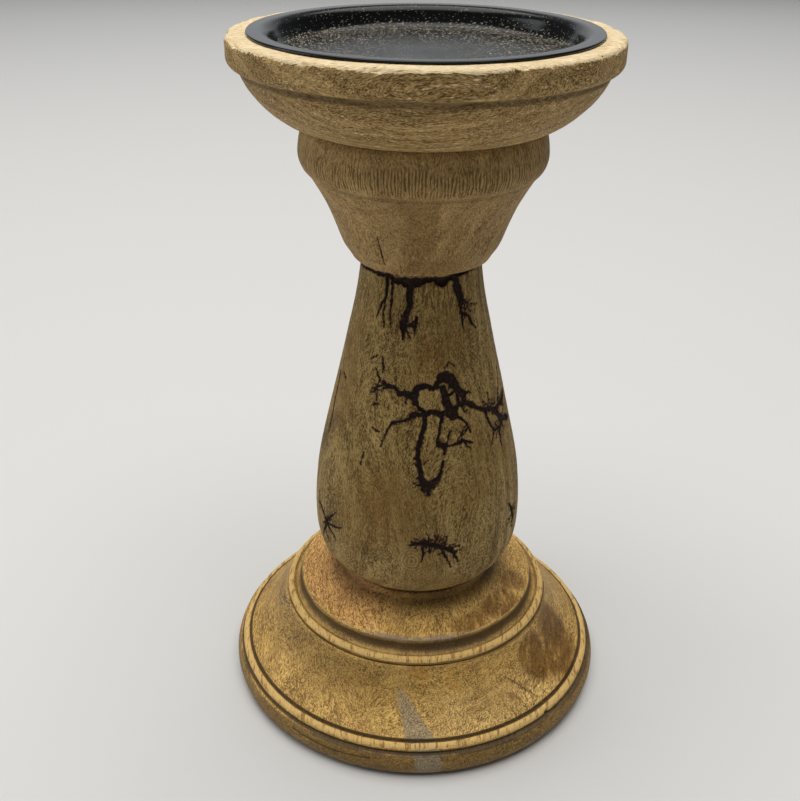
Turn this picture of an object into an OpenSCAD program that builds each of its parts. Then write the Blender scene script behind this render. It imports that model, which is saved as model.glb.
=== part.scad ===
// Turned wooden pillar candle holder with a lift-out metal drip pan.
// Millimetres, +Z up, origin on the surface it stands on, at the middle of the turning axis.
// The stand is four turned pieces spigoted and glued in a stack: base, stem, collar and cup.
// A screw from below draws the base to the stem, and one under the pan draws the cup to the collar.

/* [Foot pads] */
// Diameter of one stick-on rubber pad
pad_d = 14; // [8:0.5:18]
// Thickness of one pad
pad_h = 1.5; // [1:0.25:4]
// How far a pad's edge stays in from the base's edge
pad_inset = 5; // [2:0.5:12]

/* [Base] */
// Diameter of the base at its widest
base_d = 152; // [130:1:200]
// Height of the plain side wall, up to its top arris
base_edge_h = 8.3; // [6:0.1:14]
// How far the side wall curves in at its top and bottom
base_edge_round = 1.2; // [0.5:0.1:3]
// Distance from the base's edge in to the middle of the outer bead
outer_bead_inset = 4.6; // [3.5:0.1:8]
// Height of the concave flare between the two beads
base_flare_h = 21.3; // [14:0.1:30]
// Depth of the hollow in the flare
base_flare_sag = 2.2; // [0.5:0.1:4]
// Diameter of the inner bead, middle to middle
inner_bead_d = 103; // [90:1:112]
// Thickness of both beads
bead_t = 3.8; // [2.5:0.1:5]
// Depth of the fine grooves cut beside the beads
bead_groove = 0.9; // [0.4:0.1:1.4]
// Radius of the narrow cove inside the inner bead
cove_r = 2.8; // [2:0.1:4]
// Height of the plain wall between the cove and the plateau's edge
plateau_wall_h = 1.6; // [0.5:0.1:4]
// Radius of the plateau's rounded edge
plateau_edge_r = 1.5; // [0.5:0.1:2.5]
// Rise of the sloping plateau from its edge to the seat
plateau_rise = 4.8; // [3:0.1:10]
// Height of the seat that the stem stands on
seat_h = 3.4; // [2:0.1:6]
// How far the seat stands out past the stem's foot
seat_lip = 1.8; // [1:0.1:4]

/* [Stem] */
// Length of the stem between its shoulders
stem_len = 129.2; // [100:0.1:170]
// Diameter of the stem's foot
stem_foot_d = 57.6; // [48:0.1:64]
// Diameter of the stem at its widest
stem_belly_d = 81; // [66:0.5:92]
// Height of the widest place above the stem's foot
stem_belly_h = 27; // [20:0.5:45]
// Diameter of the neck under the collar
stem_neck_d = 42.6; // [36:0.1:47]

/* [Collar] */
// Height of the collar between its shoulders
collar_h = 46.6; // [38:0.1:60]
// Diameter of the collar's lower end, which overhangs the neck
collar_foot_d = 48.8; // [48:0.1:60]
// Diameter at the fine line cut under the ring
collar_line_d = 79.4; // [70:0.1:84]
// Diameter of the rounded ring
collar_ring_d = 85.4; // [80:0.1:92]
// Height of the ring, from the fine line to the top
collar_ring_h = 16; // [10:0.1:22]

/* [Cup] */
// Diameter of the cup's rim
cup_d = 129; // [126:0.5:160]
// Height of the cup
cup_h = 28.6; // [24:0.1:40]
// Height of the plain band round the rim
cup_band_h = 9.4; // [6:0.1:12]
// How far the band overhangs the bowl below it
cup_band_step = 3.6; // [2:0.1:6]
// Diameter of the bowl's flat underside
cup_foot_d = 85; // [80:0.5:96]

/* [Drip pan] */
// Diameter of the pan's flat flange
pan_flange_d = 115.4; // [108:0.2:124]
// Width of the flange and its rolled shoulder
pan_flange_w = 7.5; // [6:0.1:12]
// Depth of the well, from the flange's top to the floor
pan_depth = 7; // [6:0.1:9]
// Thickness of the sheet metal
pan_t = 1; // [0.6:0.1:1.5]
// Radius of the rolled shoulder, on its upper face
pan_shoulder_r = 3.2; // [2:0.1:4]
// Radius between the wall and the floor, on its upper face
pan_floor_r = 2.5; // [1.5:0.1:4]

/* [Joints] */
// Diameter of the spigot under the stem
foot_spigot_d = 30; // [22:0.5:36]
// Length of the spigot under the stem
foot_spigot_l = 18; // [12:0.5:24]
// Diameter of the spigot on top of the stem
neck_spigot_d = 24; // [18:0.5:28]
// Length of the spigot on top of the stem
neck_spigot_l = 16; // [10:0.5:20]
// Diameter of the spigot on top of the collar
cup_spigot_d = 30; // [22:0.5:40]
// Length of the spigot on top of the collar
cup_spigot_l = 9; // [6:0.5:11]
// Glue gap round each spigot
glue_gap = 0.1; // [0.05:0.05:0.3]
// Room left past the end of each spigot
end_gap = 1; // [0.5:0.1:2]
// Gap between the pan's rolled shoulder and the wall of its recess
pan_gap = 0.6; // [0.4:0.1:2]
// Gap between the pan's underside and the floor of its recess
pan_floor_gap = 1; // [0.5:0.1:2]

/* [Fasteners] */
// Shank diameter of the base screw
base_screw_d = 4.8; // [3.5:0.1:6]
// Length of the base screw under its head
base_screw_l = 50; // [42:1:60]
// Diameter of the base screw's head
base_screw_head_d = 9.6; // [8:0.1:12]
// Height of the base screw's head
base_screw_head_h = 3.4; // [2:0.1:5]
// Outer diameter of the washer
washer_d = 18; // [14:0.5:22]
// Thickness of the washer
washer_t = 1.4; // [1:0.1:2]
// Shank diameter of the cup screw
cup_screw_d = 4.2; // [3.5:0.1:5]
// Overall length of the cup screw
cup_screw_l = 38; // [30:1:42]
// Diameter of the cup screw's countersunk head
cup_screw_head_d = 8.4; // [7:0.1:10]
// Gap between a screw and the hole it is driven into
thread_gap = 0.05; // [0.02:0.01:0.1]
// Gap between a screw and a hole it only passes through
shank_gap = 0.35; // [0.2:0.05:0.6]

/* [Hidden] */
$fn = 96;

pad_ring_r = base_d/2 - pad_inset - pad_d/2;

// Base: a list of heights, each standing on the one before
base_r = base_d/2;
bead_r = bead_t/2;
base_z = pad_h;
arris_z = base_z + base_edge_h;
outer_bead_c = [base_r - outer_bead_inset, arris_z + 1.6];
flare_foot = outer_bead_c + [-0.75*bead_r, bead_r + 0.6];
inner_bead_r = inner_bead_d/2;
flare_top = [inner_bead_r + bead_r + 0.5, flare_foot[1] + base_flare_h];
inner_bead_c = [inner_bead_r, flare_top[1] + 0.5];
cove_c = inner_bead_c + [-1.2, 1.2 + cove_r];
plateau_edge_c = cove_c + [-cove_r - plateau_edge_r, plateau_wall_h];
seat_r = stem_foot_d/2 + seat_lip;
seat_foot_z = plateau_edge_c[1] + plateau_edge_r + plateau_rise;
seat_z = seat_foot_z + seat_h;
washer_seat_z = base_z + base_screw_head_h + washer_t + 3.2;

// The stack above the base
collar_z = seat_z + stem_len;
line_z = collar_h - collar_ring_h;
cup_z = collar_z + collar_h;
rim_z = cup_z + cup_h;
band_z = cup_h - cup_band_h;

// Drip pan, whose flange lies on the rim
flange_r = pan_flange_d/2;
pan_top_z = rim_z + pan_t;
pan_floor_z = pan_top_z - pan_depth;
shoulder_c = [flange_r - pan_flange_w + pan_shoulder_r, pan_top_z - pan_shoulder_r];
wall_r = shoulder_c[0] - pan_shoulder_r;
wall_lean = 0.9;
floor_c = [wall_r - wall_lean - pan_floor_r, pan_floor_z + pan_floor_r];
recess_r = shoulder_c[0] + pan_gap;
recess_z = pan_floor_z - pan_t - pan_floor_gap;

// ---- Curves ----

// Points along an arc about c in the (radius, height) plane
function arc(c, r, from, to, n = 8) =
    [for (i = [0:n]) let (a = from + (to - from)*i/n) c + r*[cos(a), sin(a)]];

// Points along a shallow arc from p to q that bows sideways by sag at its middle
function bow(p, q, sag, n = 10) =
    let (side = [p[1] - q[1], q[0] - p[0]]/norm(q - p))
    [for (i = [0:n]) let (t = i/n) p + (q - p)*t + side*sag*4*t*(1 - t)];

// One point of a smooth curve through the stations s, at place u along them
function station(s, i) = s[max(0, min(len(s) - 1, i))];
function smooth_at(s, u) =
    let (i = min(floor(u), len(s) - 2), t = u - i)
    let (a = station(s, i - 1), b = station(s, i), c = station(s, i + 1), d = station(s, i + 2))
    0.5*(2*b + (c - a)*t + (2*a - 5*b + 4*c - d)*t*t + (3*b - a - 3*c + d)*t*t*t);
function smooth(s, n = 5) = [for (k = [0:n*(len(s) - 1)]) smooth_at(s, k/n)];

// Stretches unit points over a box that starts at p and measures size
function placed(points, p, size) = [for (q = points) [p[0] + q[0]*size[0], p[1] + q[1]*size[1]]];

// ---- Shared shapes ----

module turned(points) {
    rotate_extrude() polygon(points);
}

module spigot(d, l) {
    tip = 0.8;
    turned([[0, 0], [d/2, 0], [d/2, l - tip], [d/2 - tip, l], [0, l]]);
}

module mortise(d, l) {
    cylinder(d = d + 2*glue_gap, h = l + end_gap);
}

// A pointed shank that hangs down from z = 0
module shank(d, l, gap = 0) {
    tip = 1.6*d;
    turned([[0, -l - gap], [d/2 + gap, tip - l], [d/2 + gap, 0], [0, 0]]);
}

// The crossed slots of a driver recess, cut down from z = 0
module cross_slot(size, depth) {
    for (turn = [0, 90])
        rotate(turn) translate([-size/2, -size/7, -depth]) cube([size, 2*size/7, depth + 1]);
}

module countersunk_head(d, shank_d) {
    turned([[0, 0], [d/2, 0], [d/2, -0.5], [shank_d/2, -0.5 - (d - shank_d)/2], [0, -0.5 - (d - shank_d)/2]]);
}

// ---- Pieces ----

// Unit curve of the stem above its widest place: height up, radius from neck to belly
stem_taper = smooth([[1, 0], [0.97, 0.09], [0.865, 0.23], [0.5, 0.53], [0.14, 0.83], [0, 1]], 6);

function stem_lower(n = 12) =
    [for (i = [0:n - 1]) let (t = pow(i/n, 1.5))
        [stem_foot_d/2 + (stem_belly_d - stem_foot_d)/2*(1 - pow(1 - t, 3.55)), stem_belly_h*t]];

module stem() {
    outline = concat(
        [[0, 0]],
        stem_lower(),
        placed(stem_taper, [stem_neck_d/2, stem_belly_h],
            [(stem_belly_d - stem_neck_d)/2, stem_len - stem_belly_h]),
        [[0, stem_len]]);
    color("tan") translate([0, 0, seat_z]) difference() {
        union() {
            turned(outline);
            translate([0, 0, stem_len]) spigot(neck_spigot_d, neck_spigot_l);
            mirror([0, 0, 1]) spigot(foot_spigot_d, foot_spigot_l);
        }
        translate([0, 0, washer_seat_z - seat_z]) mirror([0, 0, 1]) shank(base_screw_d, base_screw_l, thread_gap);
    }
}

module base() {
    section = concat(
        [[0, base_z]],
        bow([base_r - base_edge_round, base_z], [base_r - base_edge_round, arris_z], -base_edge_round),
        [outer_bead_c + [bead_r - 0.1, -1.4], outer_bead_c, flare_foot + [0.1, -bead_groove]],
        bow(flare_foot, flare_top, base_flare_sag),
        [flare_top - [bead_groove, 0.8], inner_bead_c],
        [cove_c - [0, cove_r]],
        arc(cove_c, cove_r, 265, 180),
        arc(plateau_edge_c, plateau_edge_r, 0, 80, 4),
        bow(plateau_edge_c + [-0.4, plateau_edge_r], [seat_r - 0.3, seat_foot_z], 0.8, 6),
        [[seat_r - 0.6, seat_z], [0, seat_z]]);
    color("darkgoldenrod") difference() {
        rotate_extrude() union() {
            polygon(section);
            translate(outer_bead_c) circle(bead_r);
            translate(inner_bead_c) circle(bead_r);
            translate([seat_r - seat_h/2, seat_foot_z + seat_h/2]) circle(seat_h/2);
        }
        translate([0, 0, seat_z]) mirror([0, 0, 1]) mortise(foot_spigot_d, foot_spigot_l);
        cylinder(r = base_screw_d/2 + shank_gap, h = seat_z);
        cylinder(r = washer_d/2 + 1, h = washer_seat_z);
    }
}

module collar() {
    body = smooth([[0, 0], [0.1, 0.085], [0.24, 0.2], [0.43, 0.45], [0.645, 0.7], [0.87, 0.9], [1, 1]], 4);
    ring = smooth([[0, 0], [0.5, 0.1], [0.9, 0.26], [1, 0.42], [0.8, 0.68], [0.5, 0.88], [0.1, 1]], 4);
    outline = concat(
        [[0, 0]],
        placed(body, [collar_foot_d/2, 0], [(collar_line_d - collar_foot_d)/2, line_z]),
        placed(ring, [collar_line_d/2 + 0.4, line_z + 0.3],
            [(collar_ring_d - collar_line_d)/2 - 0.4, collar_ring_h - 0.3]),
        [[0, collar_h]]);
    color("burlywood") translate([0, 0, collar_z]) difference() {
        union() {
            turned(outline);
            translate([0, 0, collar_h]) spigot(cup_spigot_d, cup_spigot_l);
        }
        mortise(neck_spigot_d, neck_spigot_l);
        translate([0, 0, recess_z - collar_z]) shank(cup_screw_d, cup_screw_l, thread_gap);
    }
}

module cup() {
    bowl_r = cup_d/2 - cup_band_step;
    corner = 2.8;
    lip = 1.4;
    // A superellipse, flatter below than a circle
    bowl = [for (i = [0:12]) let (a = 90*i/12) [pow(sin(a), 2/1.45), 1 - pow(cos(a), 2/1.45)]];
    section = concat(
        [[0, 0], [cup_foot_d/2 - 1, 0]],
        placed(bowl, [cup_foot_d/2, 0.6], [bowl_r - cup_foot_d/2, band_z - 1]),
        [[bowl_r + cup_band_step - corner, band_z]],
        arc([cup_d/2 - corner, band_z + corner], corner, 280, 360, 5),
        arc([cup_d/2 - lip, cup_h - lip], lip, 0, 90, 4),
        [[0, cup_h]]);
    color("wheat") translate([0, 0, cup_z]) difference() {
        turned(section);
        translate([0, 0, recess_z - cup_z]) cylinder(r = recess_r, h = cup_h);
        mortise(cup_spigot_d, cup_spigot_l);
        cylinder(r = cup_screw_d/2 + shank_gap, h = cup_h);
        translate([0, 0, recess_z - cup_z]) countersunk_head(cup_screw_head_d + 0.2, cup_screw_d);
    }
}

module drip_pan() {
    edge = pan_t/2;
    upper = concat(
        arc([flange_r - edge, pan_top_z - edge], edge, -90, 90, 6),
        arc(shoulder_c, pan_shoulder_r, 90, 180),
        arc(floor_c, pan_floor_r, 0, -90));
    lower = concat(
        arc(floor_c, pan_floor_r + pan_t, -90, 0),
        arc(shoulder_c, pan_shoulder_r - pan_t, 180, 90));
    color("dimgray") turned(concat(
        upper, [[0, pan_floor_z], [0, pan_floor_z - pan_t]], lower));
}

module cup_screw() {
    color("silver") translate([0, 0, recess_z]) difference() {
        union() {
            shank(cup_screw_d, cup_screw_l);
            countersunk_head(cup_screw_head_d, cup_screw_d);
        }
        cross_slot(0.6*cup_screw_head_d, 1.8);
    }
}

module base_screw() {
    color("silver") translate([0, 0, washer_seat_z - washer_t]) mirror([0, 0, 1]) difference() {
        union() {
            shank(base_screw_d, base_screw_l + washer_t);
            turned([[0, 0], [base_screw_head_d/2, 0], [base_screw_head_d/2, 0.45*base_screw_head_h],
                [base_screw_head_d/2 - 1.4, base_screw_head_h], [0, base_screw_head_h]]);
        }
        translate([0, 0, base_screw_head_h]) cross_slot(0.6*base_screw_head_d, 2);
    }
}

module base_washer() {
    color("silver") translate([0, 0, washer_seat_z - washer_t]) difference() {
        cylinder(d = washer_d, h = washer_t);
        translate([0, 0, -1]) cylinder(r = base_screw_d/2 + shank_gap, h = washer_t + 2);
    }
}

module foot_pad(turn) {
    rim = 0.4;
    color("black") rotate(turn) translate([pad_ring_r, 0, 0])
        turned([[0, 0], [pad_d/2 - rim, 0], [pad_d/2, rim], [pad_d/2, pad_h], [0, pad_h]]);
}

drip_pan();
cup();
cup_screw();
collar();
stem();
base();
base_screw();
base_washer();
foot_pad(270);  // foot_pad_front
foot_pad(0);  // foot_pad_right
foot_pad(90);  // foot_pad_back
foot_pad(180);  // foot_pad_left
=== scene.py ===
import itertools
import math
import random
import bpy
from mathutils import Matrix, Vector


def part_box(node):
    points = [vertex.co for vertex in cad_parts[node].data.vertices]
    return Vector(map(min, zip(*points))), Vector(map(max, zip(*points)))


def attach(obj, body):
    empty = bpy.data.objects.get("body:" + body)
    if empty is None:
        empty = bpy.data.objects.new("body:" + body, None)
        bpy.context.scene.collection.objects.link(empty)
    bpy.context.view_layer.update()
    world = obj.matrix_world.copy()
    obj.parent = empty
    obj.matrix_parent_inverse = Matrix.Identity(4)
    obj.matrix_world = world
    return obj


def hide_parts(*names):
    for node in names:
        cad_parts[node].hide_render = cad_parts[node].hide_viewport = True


bl_info = {
    "name": "Turned Candle Holder",
    "version": (1, 0, 0),
    "blender": (4, 5, 0),
    "location": "View3D > Sidebar > Candle Holder",
    "description": "Builds a turned wooden pillar candle holder with burn marks and a lift-out drip pan",
    "category": "Object",
}

import bmesh
import bpy
import numpy as np
from bpy.props import FloatProperty, FloatVectorProperty, IntProperty, PointerProperty
from mathutils import Matrix, Vector

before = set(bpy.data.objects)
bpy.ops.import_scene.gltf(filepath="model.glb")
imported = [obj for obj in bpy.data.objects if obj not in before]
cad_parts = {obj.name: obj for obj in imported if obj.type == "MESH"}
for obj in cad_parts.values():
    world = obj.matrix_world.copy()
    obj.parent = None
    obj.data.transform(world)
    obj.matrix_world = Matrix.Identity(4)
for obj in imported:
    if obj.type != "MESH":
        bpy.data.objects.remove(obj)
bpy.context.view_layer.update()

MM = 0.001
BASE_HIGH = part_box("base")[1]
CUP_LOW, CUP_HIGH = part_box("cup")
PAN_LOW, PAN_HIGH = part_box("drip_pan")


# ---- Settings ----


def colour_setting(name, description, default):
    return FloatVectorProperty(name=name, description=description, subtype="COLOR", default=default)


def length_setting(name, description, default, low, high):
    return FloatProperty(
        name=name, description=description, unit="LENGTH", default=default * MM, min=low * MM, max=high * MM
    )


class CANDLE_PG_woods(bpy.types.PropertyGroup):
    cup_tan: colour_setting("Cup", "Colour of the cup's bare wood", (0.355, 0.232, 0.088))
    # Pale rim colour: pale from wear, and lighter still as painted light on the rim's upward face
    rim_cream: colour_setting("Worn rim", "Colour of the pale, worn top of the rim", (0.88, 0.73, 0.48))
    collar_tan: colour_setting("Collar", "Colour of the collar's bare wood", (0.345, 0.222, 0.084))
    stem_tan: colour_setting("Stem", "Colour of the stem's bare wood", (0.268, 0.178, 0.058))
    base_gold: colour_setting("Base", "Colour of the base's oiled wood", (0.54, 0.33, 0.088))
    # Groove colour: real stain in grooves and cracks, and also painted shade in hollows, at joints and under
    # steps
    groove_stain_and_shade: colour_setting("Grooves", "Colour of the stain left in the grooves", (0.05, 0.027, 0.009))
    char_brown: colour_setting("Char", "Colour of the burnt channels", (0.011, 0.006, 0.004))


class CANDLE_PG_sizes(bpy.types.PropertyGroup):
    ring_step: length_setting("Ring spacing", "Distance between the rings of points that show", 0.5, 0.2, 2)
    hidden_step: length_setting("Hidden spacing", "Distance between the rings inside a joint", 3, 1, 6)
    burn_depth: length_setting("Burn depth", "Depth of the widest burnt channels", 0.8, 0, 2)
    burn_seed: IntProperty(
        name="Burn pattern",
        description="Starting number for the fine twigs of the burns",
        default=11,
        min=0,
        max=999,
    )


# ---- Outlines of the turned pieces ----

CUT_ANGLE = 0.37
SHARP_TURN = math.radians(30)
EASINGS = 2
CALM_EASINGS = 14


def section(node):
    """The outline of a turned CAD node as (radius, height) points, anticlockwise, cut beside its axis."""
    cut = bmesh.new()
    cut.from_mesh(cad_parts[node].data)
    bmesh.ops.remove_doubles(cut, verts=cut.verts, dist=1e-6)
    across = Vector((math.cos(CUT_ANGLE), math.sin(CUT_ANGLE), 0))
    normal = Vector((-across.y, across.x, 0))
    whole = cut.verts[:] + cut.edges[:] + cut.faces[:]
    made = bmesh.ops.bisect_plane(cut, geom=whole, dist=1e-7, plane_co=(0, 0, 0), plane_no=normal)
    joined = {}
    for edge in made["geom_cut"]:
        if not isinstance(edge, bmesh.types.BMEdge):
            continue
        ends = [(round(v.co.dot(across), 7), round(v.co.z, 7)) for v in edge.verts]
        if ends[0] == ends[1] or ends[0][0] + ends[1][0] < 1e-6:
            continue
        for here, there in (ends, ends[::-1]):
            joined.setdefault(here, []).append(there)
    cut.free()
    loose = sorted(p for p, others in joined.items() if len(others) == 1)
    here = loose[0] if loose else min(joined)
    walk = [here]
    while True:
        onward = [p for p in joined[here] if p not in walk[-2:]]
        onward = [p for p in onward if p not in walk] or [p for p in onward if p == walk[0] and len(walk) > 2]
        if not onward or onward[0] == walk[0]:
            break
        here = onward[0]
        walk.append(here)
    points = np.array(walk)
    closed = not loose
    if loose:
        points[[0, -1], 0] = 0
    after = np.roll(points, -1, axis=0)
    if np.sum(points[:, 0] * after[:, 1] - after[:, 0] * points[:, 1]) < 0:
        points = points[::-1]
    return drop_straight(points, closed), closed


def drop_straight(points, closed):
    """The same outline without points that lie in the middle of a straight stretch."""
    keep = []
    count = len(points)
    for i in range(count):
        if not closed and i in (0, count - 1):
            keep.append(i)
            continue
        before = points[i] - points[i - 1]
        after = points[(i + 1) % count] - points[i]
        turn = abs(before[0] * after[1] - before[1] * after[0])
        if turn > 2e-4 * np.linalg.norm(before) * np.linalg.norm(after):
            keep.append(i)
    return points[keep]


def curve_between(a, b, c, d, count):
    """Points from b to c on the smooth curve through a, b, c and d."""
    gaps = [max(math.sqrt(np.linalg.norm(q - p)), 1e-6) for p, q in ((a, b), (b, c), (c, d))]
    t0 = 0
    t1 = t0 + gaps[0]
    t2 = t1 + gaps[1]
    t3 = t2 + gaps[2]
    t = np.linspace(t1, t2, count, endpoint=False)[:, None]
    ab = (t1 - t) / (t1 - t0) * a + (t - t0) / (t1 - t0) * b
    bc = (t2 - t) / (t2 - t1) * b + (t - t1) / (t2 - t1) * c
    cd = (t3 - t) / (t3 - t2) * c + (t - t2) / (t3 - t2) * d
    abc = (t2 - t) / (t2 - t0) * ab + (t - t0) / (t2 - t0) * bc
    bcd = (t3 - t) / (t3 - t1) * bc + (t - t1) / (t3 - t1) * cd
    return (t2 - t) / (t2 - t1) * abc + (t - t1) / (t2 - t1) * bcd


def fair(points, closed, step_at, calm_at=None):
    """The outline smoothed between its sharp corners and cut into short steps, with its corners eased.

    calm_at(points) is 1 where the outline is eased further, which takes out ripples, and 0 elsewhere."""
    count = len(points)
    last = count if closed else count - 1

    def is_sharp(i):
        if not closed and i in (0, count - 1):
            return True
        before = points[i % count] - points[i - 1]
        after = points[(i + 1) % count] - points[i % count]
        turn = math.atan2(before[0] * after[1] - before[1] * after[0], float(before @ after))
        return abs(turn) > SHARP_TURN

    pieces = []
    for i in range(last):
        b = points[i]
        c = points[(i + 1) % count]
        length = np.linalg.norm(c - b)
        a = b - (c - b) if is_sharp(i) else points[i - 1]
        d = c + (c - b) if is_sharp((i + 1) % count) else points[(i + 2) % count]
        steps = max(1, math.ceil(length / step_at((b + c) / 2)))
        pieces.append(curve_between(a, b, c, d, steps))
    if not closed:
        pieces.append(points[-1:])
    line = np.concatenate(pieces)
    for turn in range(EASINGS if calm_at is None else CALM_EASINGS):
        eased = (np.roll(line, 1, axis=0) + 2 * line + np.roll(line, -1, axis=0)) / 4
        if turn >= EASINGS:
            eased = line + (eased - line) * calm_at(line)[:, None]
        if not closed:
            eased[[0, -1]] = line[[0, -1]]
            eased[0, 0] = 0
            eased[-1, 0] = 0
        line = eased
    return np.clip(line, points.min(axis=0), points.max(axis=0))


# ---- Noise and turned meshes ----


def lumps(places, size, seed=0):
    """Smooth noise from -1 to 1 at each place, with lumps about size across, which may differ by axis."""
    grid = places / np.asarray(size, float) + 31.7 * (seed + 1)
    cell = np.floor(grid).astype(np.int64)
    part = grid - cell
    part = part * part * (3 - 2 * part)
    total = np.zeros(len(places))
    for corner in itertools.product((0, 1), repeat=3):
        key = (cell + corner) * np.array((73856093, 19349663, 83492791))
        key = (key[:, 0] ^ key[:, 1] ^ key[:, 2]) & 0x7FFFFFFF
        key = (key * 1103515245 + 12345) & 0x7FFFFFFF
        key = ((key >> 8) * 1103515245 + 12345) & 0x7FFFFFFF
        weight = np.prod(np.where(corner, part, 1 - part), axis=1)
        total += weight * (key / 0x3FFFFFFF - 1)
    return total


def ease(low, high, x):
    """0 below low and 1 above high, with a smooth step between. low may be above high."""
    t = np.clip((x - low) / (high - low), 0, 1)
    return t * t * (3 - 2 * t)


class Turning:
    """A turned surface: rings of points round the axis, which can be carved before it becomes a mesh."""

    def __init__(self, outline, closed, segments):
        self.closed = closed
        self.line = outline
        self.segments = segments
        rings = len(outline)
        ahead = np.roll(outline, -1, axis=0)
        behind = np.roll(outline, 1, axis=0)
        if not closed:
            ahead[-1] = outline[-1]
            behind[0] = outline[0]
        along = ahead - behind
        along /= np.maximum(np.linalg.norm(along, axis=1), 1e-12)[:, None]
        self.out = np.stack([along[:, 1], -along[:, 0]], axis=1)
        turn = np.arange(segments) * 2 * math.pi / segments
        self.turn = np.tile(turn, rings)
        self.ring = np.repeat(np.arange(rings), segments)
        self.r = outline[self.ring, 0]
        self.z = outline[self.ring, 1]
        self.marks = {}
        self.carved = np.zeros(len(self.r))

    @property
    def places(self):
        return np.stack([self.r * np.cos(self.turn), self.r * np.sin(self.turn), self.z], axis=1)

    @property
    def angle(self):
        """Degrees round from the front, growing towards the right."""
        return (np.degrees(self.turn) + 90 + 180) % 360 - 180

    def across(self, angle):
        """Distance in mm round the surface from that many degrees, below 0 on its left."""
        return np.radians((self.angle - angle + 180) % 360 - 180) * self.r / MM

    def roundness(self, reach):
        """How crested (above 0) or hollow (below 0) the outline is over that reach, as radians."""
        line = self.line
        steps = np.linalg.norm(np.roll(line, -1, axis=0) - line, axis=1)
        heading = np.unwrap(np.arctan2(-self.out[:, 0], self.out[:, 1]))
        at = np.concatenate([[0], np.cumsum(steps)[:-1]])
        ahead = np.interp(at + reach / 2, at, heading)
        behind = np.interp(at - reach / 2, at, heading)
        return (ahead - behind)[self.ring]

    def carve(self, depth):
        """Moves each point in along its ring's outline normal."""
        self.carved = self.carved + depth

    def build(self, name):
        normal = self.out[self.ring]
        r = np.maximum(self.r - self.carved * normal[:, 0], 0)
        z = self.z - self.carved * normal[:, 1]
        points = np.stack([r * np.cos(self.turn), r * np.sin(self.turn), z], axis=1)
        rings, n = len(self.line), self.segments
        index = np.arange(rings * n).reshape(rings, n)
        lower = index if self.closed else index[:-1]
        upper = np.roll(index, -1, axis=0) if self.closed else index[1:]
        quads = np.stack([lower, np.roll(lower, -1, 1), np.roll(upper, -1, 1), upper], axis=-1).reshape(-1, 4)
        mesh = bpy.data.meshes.new(name)
        mesh.vertices.add(len(points))
        mesh.vertices.foreach_set("co", points.astype(np.float32).ravel())
        mesh.loops.add(quads.size)
        mesh.loops.foreach_set("vertex_index", quads.astype(np.int32).ravel())
        mesh.polygons.add(len(quads))
        mesh.polygons.foreach_set("loop_start", np.arange(0, quads.size, 4, dtype=np.int32))
        mesh.update(calc_edges=True)
        for mark, values in self.marks.items():
            attribute = mesh.attributes.new(mark, "FLOAT", "POINT")
            attribute.data.foreach_set("value", values.astype(np.float32))
        if self.line[:, 0].min() < 1e-6:
            welded = bmesh.new()
            welded.from_mesh(mesh)
            poles = [v for v in welded.verts if v.co.x**2 + v.co.y**2 < 1e-14]
            bmesh.ops.remove_doubles(welded, verts=poles, dist=1e-6)
            welded.to_mesh(mesh)
            welded.free()
        mesh.polygons.foreach_set("use_smooth", np.ones(len(mesh.polygons), bool))
        mesh.update()
        piece = bpy.data.objects.new(name, mesh)
        bpy.context.scene.collection.objects.link(piece)
        return piece


def finish_piece(piece, material, body, node):
    piece.data.materials.append(material)
    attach(piece, body)
    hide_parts(node)


# ---- Shader building ----


class Shade:
    """A value, colour or vector socket that can be used in arithmetic, which adds Math nodes."""

    def __init__(self, paint, socket):
        self.paint = paint
        self.socket = socket

    def math(self, operation, *values):
        return self.paint.math(operation, *values)

    def __add__(self, other):
        return self.math("ADD", self, other)

    def __radd__(self, other):
        return self.math("ADD", other, self)

    def __sub__(self, other):
        return self.math("SUBTRACT", self, other)

    def __rsub__(self, other):
        return self.math("SUBTRACT", other, self)

    def __mul__(self, other):
        return self.math("MULTIPLY", self, other)


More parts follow.
